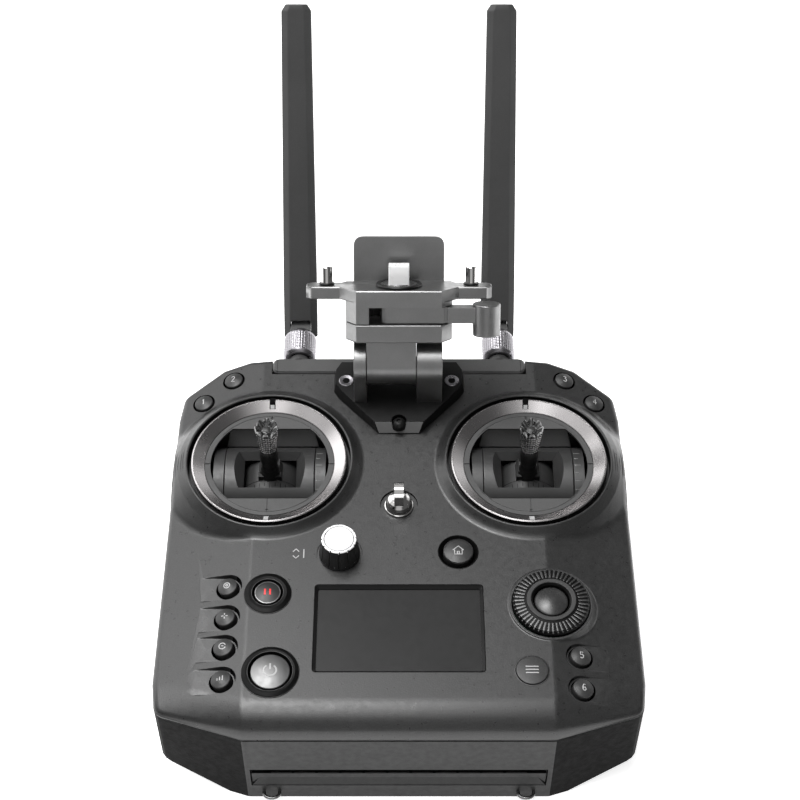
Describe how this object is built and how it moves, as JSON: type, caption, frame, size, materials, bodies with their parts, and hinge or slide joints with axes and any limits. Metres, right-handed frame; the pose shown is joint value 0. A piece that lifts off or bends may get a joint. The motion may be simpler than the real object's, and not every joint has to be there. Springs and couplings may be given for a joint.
{
  "type": "radio transmitter controller",
  "caption": "Two-stick hand-held drone transmitter with a status screen, keys and dials, folding antennas, a slide-on battery and a tilting monitor bracket.",
  "frame": {"origin": "on the flat back face, straight below the midpoint between the two stick axes; the transmitter lies on its back", "axes": "+X to the user's right, +Y away from the user towards the antennas, +Z square to the front panel and out of it"},
  "size_m": [0.237, 0.3656, 0.2112],
  "materials": {
    "casing": "fine spark-eroded texture",
    "dark_plastic": "satin",
    "grey_plastic": "satin",
    "bezel_metal": "circular brushed, dark anodised",
    "chrome": "polished",
    "knurled_steel": "knurled, bright",
    "bracket_metal": "bead-blasted, grey anodised",
    "key": "satin",
    "glass": "clear cover over a dark display",
    "rubber": "matt",
    "board": "solder mask"
  },
  "bodies": {
    "root": {"front_shell": "casing", "rear_shell": "casing", "lower_trim": "dark_plastic", "left_strap_loop": "chrome", "right_strap_loop": "chrome", "left_stick_bezel": "bezel_metal", "right_stick_bezel": "bezel_metal", "left_gimbal_plate": "grey_plastic", "right_gimbal_plate": "grey_plastic", "left_gimbal_frame": "dark_plastic", "right_gimbal_frame": "dark_plastic", "screen_glass": "glass", "screen_module": "dark_plastic", "main_board": "board", "pause_bezel": "dark_plastic", "power_bezel": "dark_plastic", "neck_strap_lug": "chrome", "antenna_bar": "casing", "bracket_base": "dark_plastic"},
    "left_yoke": {"left_gimbal_yoke": "dark_plastic"},
    "left_stick": {"left_stick": "dark_plastic", "left_stick_cap": "chrome"},
    "right_yoke": {"right_gimbal_yoke": "dark_plastic"},
    "right_stick": {"right_stick": "dark_plastic", "right_stick_cap": "chrome"},
    "home_button": {"home_button": "key"},
    "pause_button": {"pause_button": "key"},
    "power_button": {"power_button": "key"},
    "menu_button": {"menu_button": "key"},
    "camera_key_1": {"camera_key_1": "key"},
    "camera_key_2": {"camera_key_2": "key"},
    "camera_key_3": {"camera_key_3": "key"},
    "camera_key_4": {"camera_key_4": "key"},
    "function_key_1": {"function_key_1": "key"},
    "function_key_2": {"function_key_2": "key"},
    "function_key_3": {"function_key_3": "key"},
    "function_key_4": {"function_key_4": "key"},
    "function_key_5": {"function_key_5": "key"},
    "function_key_6": {"function_key_6": "key"},
    "tilt_dial": {"tilt_dial": "dark_plastic"},
    "jog_wheel": {"jog_wheel": "rubber"},
    "jog_pad": {"jog_pad": "key"},
    "left_nut": {"left_antenna_nut": "knurled_steel"},
    "left_knuckle": {"left_antenna_knuckle": "bracket_metal"},
    "left_blade": {"left_antenna_blade": "dark_plastic"},
    "right_nut": {"right_antenna_nut": "knurled_steel"},
    "right_knuckle": {"right_antenna_knuckle": "bracket_metal"},
    "right_blade": {"right_antenna_blade": "dark_plastic"},
    "bracket_arm": {"bracket_arm": "bracket_metal", "bracket_head": "bracket_metal", "left_bracket_pin": "chrome", "right_bracket_pin": "chrome"},
    "bracket_lever": {"bracket_lever": "bracket_metal"},
    "bracket_tenon": {"bracket_tenon": "chrome"},
    "battery": {"battery_pack": "dark_plastic"},
    "battery_release": {"battery_release": "rubber"},
    "left_shoulder_dial": {"left_shoulder_dial": "rubber"},
    "right_shoulder_dial": {"right_shoulder_dial": "rubber"},
    "record_button": {"record_button": "key"},
    "shutter_button": {"shutter_button": "key"}
  },
  "joints": [
    {"name": "left_stick_fore_aft", "type": "hinge", "parent": "root", "child": "left_yoke", "pos_m": [-0.0675, 0, 0.0426], "axis": [1, 0, 0], "range_deg": [-25, 25], "stiffness_Nm_per_rad": 0.15},
    {"name": "left_stick_sideways", "type": "hinge", "parent": "left_yoke", "child": "left_stick", "pos_m": [-0.0675, 0, 0.0426], "axis": [0, 1, 0], "range_deg": [-25, 25], "stiffness_Nm_per_rad": 0.15},
    {"name": "right_stick_fore_aft", "type": "hinge", "parent": "root", "child": "right_yoke", "pos_m": [0.0675, 0, 0.0426], "axis": [1, 0, 0], "range_deg": [-25, 25], "stiffness_Nm_per_rad": 0.15},
    {"name": "right_stick_sideways", "type": "hinge", "parent": "right_yoke", "child": "right_stick", "pos_m": [0.0675, 0, 0.0426], "axis": [0, 1, 0], "range_deg": [-25, 25], "stiffness_Nm_per_rad": 0.15},
    {"name": "home_button_press", "type": "slide", "parent": "root", "child": "home_button", "axis": [0, 0, -1], "range_m": [0, 0.001], "stiffness_N_per_m": 400, "springref_m": -0.0008},
    {"name": "pause_button_press", "type": "slide", "parent": "root", "child": "pause_button", "axis": [0, 0, -1], "range_m": [0, 0.001], "stiffness_N_per_m": 400, "springref_m": -0.0008},
    {"name": "power_button_press", "type": "slide", "parent": "root", "child": "power_button", "axis": [0, 0, -1], "range_m": [0, 0.001], "stiffness_N_per_m": 400, "springref_m": -0.0008},
    {"name": "menu_button_press", "type": "slide", "parent": "root", "child": "menu_button", "axis": [0, 0, -1], "range_m": [0, 0.001], "stiffness_N_per_m": 400, "springref_m": -0.0008},
    {"name": "camera_key_1_press", "type": "slide", "parent": "root", "child": "camera_key_1", "axis": [0.2079, 0, -0.9781], "range_m": [0, 0.001], "stiffness_N_per_m": 400, "springref_m": -0.0008},
    {"name": "camera_key_2_press", "type": "slide", "parent": "root", "child": "camera_key_2", "axis": [0.2079, 0, -0.9781], "range_m": [0, 0.001], "stiffness_N_per_m": 400, "springref_m": -0.0008},
    {"name": "camera_key_3_press", "type": "slide", "parent": "root", "child": "camera_key_3", "axis": [0.2079, 0, -0.9781], "range_m": [0, 0.001], "stiffness_N_per_m": 400, "springref_m": -0.0008},
    {"name": "camera_key_4_press", "type": "slide", "parent": "root", "child": "camera_key_4", "axis": [0.2079, 0, -0.9781], "range_m": [0, 0.001], "stiffness_N_per_m": 400, "springref_m": -0.0008},
    {"name": "function_key_1_press", "type": "slide", "parent": "root", "child": "function_key_1", "axis": [0.2079, 0, -0.9781], "range_m": [0, 0.001], "stiffness_N_per_m": 400, "springref_m": -0.0008},
    {"name": "function_key_2_press", "type": "slide", "parent": "root", "child": "function_key_2", "axis": [0.2079, 0, -0.9781], "range_m": [0, 0.001], "stiffness_N_per_m": 400, "springref_m": -0.0008},
    {"name": "function_key_3_press", "type": "slide", "parent": "root", "child": "function_key_3", "axis": [-0.2079, 0, -0.9781], "range_m": [0, 0.001], "stiffness_N_per_m": 400, "springref_m": -0.0008},
    {"name": "function_key_4_press", "type": "slide", "parent": "root", "child": "function_key_4", "axis": [-0.2079, 0, -0.9781], "range_m": [0, 0.001], "stiffness_N_per_m": 400, "springref_m": -0.0008},
    {"name": "function_key_5_press", "type": "slide", "parent": "root", "child": "function_key_5", "axis": [-0.2079, 0, -0.9781], "range_m": [0, 0.001], "stiffness_N_per_m": 400, "springref_m": -0.0008},
    {"name": "function_key_6_press", "type": "slide", "parent": "root", "child": "function_key_6", "axis": [-0.2079, 0, -0.9781], "range_m": [0, 0.001], "stiffness_N_per_m": 400, "springref_m": -0.0008},
    {"name": "tilt_dial_turn", "type": "hinge", "parent": "root", "child": "tilt_dial", "pos_m": [-0.0297, -0.0573, 0.068], "axis": [0, 0, 1], "range_deg": [-150, 150]},
    {"name": "jog_wheel_turn", "type": "hinge", "parent": "root", "child": "jog_wheel", "pos_m": [0.0744, -0.0874, 0.068], "axis": [0, 0, 1], "continuous": true},
    {"name": "jog_pad_press", "type": "slide", "parent": "root", "child": "jog_pad", "axis": [0, 0, -1], "range_m": [0, 0.001], "stiffness_N_per_m": 400, "springref_m": -0.0008},
    {"name": "left_nut_turn", "type": "hinge", "parent": "root", "child": "left_nut", "pos_m": [-0.0548, 0.084, 0.0634], "axis": [0, 1, 0], "continuous": true},
    {"name": "left_antenna_swivel", "type": "hinge", "parent": "root", "child": "left_knuckle", "pos_m": [-0.0548, 0.084, 0.0634], "axis": [0, 1, 0], "range_deg": [-90, 5]},
    {"name": "left_antenna_tilt", "type": "hinge", "parent": "left_knuckle", "child": "left_blade", "pos_m": [-0.0548, 0.0992, 0.0634], "axis": [1, 0, 0], "range_deg": [-55, 25]},
    {"name": "right_nut_turn", "type": "hinge", "parent": "root", "child": "right_nut", "pos_m": [0.0548, 0.084, 0.0634], "axis": [0, 1, 0], "continuous": true},
    {"name": "right_antenna_swivel", "type": "hinge", "parent": "root", "child": "right_knuckle", "pos_m": [0.0548, 0.084, 0.0634], "axis": [0, 1, 0], "range_deg": [-5, 90]},
    {"name": "right_antenna_tilt", "type": "hinge", "parent": "right_knuckle", "child": "right_blade", "pos_m": [0.0548, 0.0992, 0.0634], "axis": [1, 0, 0], "range_deg": [-55, 25]},
    {"name": "bracket_tilt", "type": "hinge", "parent": "root", "child": "bracket_arm", "pos_m": [0, 0.047, 0.094], "axis": [1, 0, 0], "range_deg": [-30, 34]},
    {"name": "bracket_lever_turn", "type": "hinge", "parent": "bracket_arm", "child": "bracket_lever", "pos_m": [0, 0.047, 0.094], "axis": [0, 0.5592, 0.829], "range_deg": [-75, 0]},
    {"name": "bracket_tenon_turn", "type": "hinge", "parent": "bracket_arm", "child": "bracket_tenon", "pos_m": [0, 0.047, 0.094], "axis": [0, 0.5592, 0.829], "range_deg": [-75, 0]},
    {"name": "battery_slide", "type": "slide", "parent": "root", "child": "battery", "axis": [0, -1, 0], "range_m": [0, 0.01]},
    {"name": "battery_release_press", "type": "slide", "parent": "root", "child": "battery_release", "axis": [0, 0, 1], "range_m": [0, 0.0015], "stiffness_N_per_m": 400, "springref_m": -0.0008},
    {"name": "left_shoulder_dial_turn", "type": "hinge", "parent": "root", "child": "left_shoulder_dial", "pos_m": [-0.1025, 0.0554, 0.035], "axis": [0, 0, 1], "range_deg": [-35, 35], "stiffness_Nm_per_rad": 0.02},
    {"name": "right_shoulder_dial_turn", "type": "hinge", "parent": "root", "child": "right_shoulder_dial", "pos_m": [0.1025, 0.0554, 0.035], "axis": [0, 0, 1], "range_deg": [-35, 35], "stiffness_Nm_per_rad": 0.02},
    {"name": "record_button_press", "type": "slide", "parent": "root", "child": "record_button", "axis": [0, -1, 0], "range_m": [0, 0.001], "stiffness_N_per_m": 400, "springref_m": -0.0008},
    {"name": "shutter_button_press", "type": "slide", "parent": "root", "child": "shutter_button", "axis": [0, -1, 0], "range_m": [0, 0.001], "stiffness_N_per_m": 400, "springref_m": -0.0008}
  ],
  "couplings": [
    {"joint": "bracket_tenon_turn", "follows": "bracket_lever_turn", "ratio": 1}
  ]
}
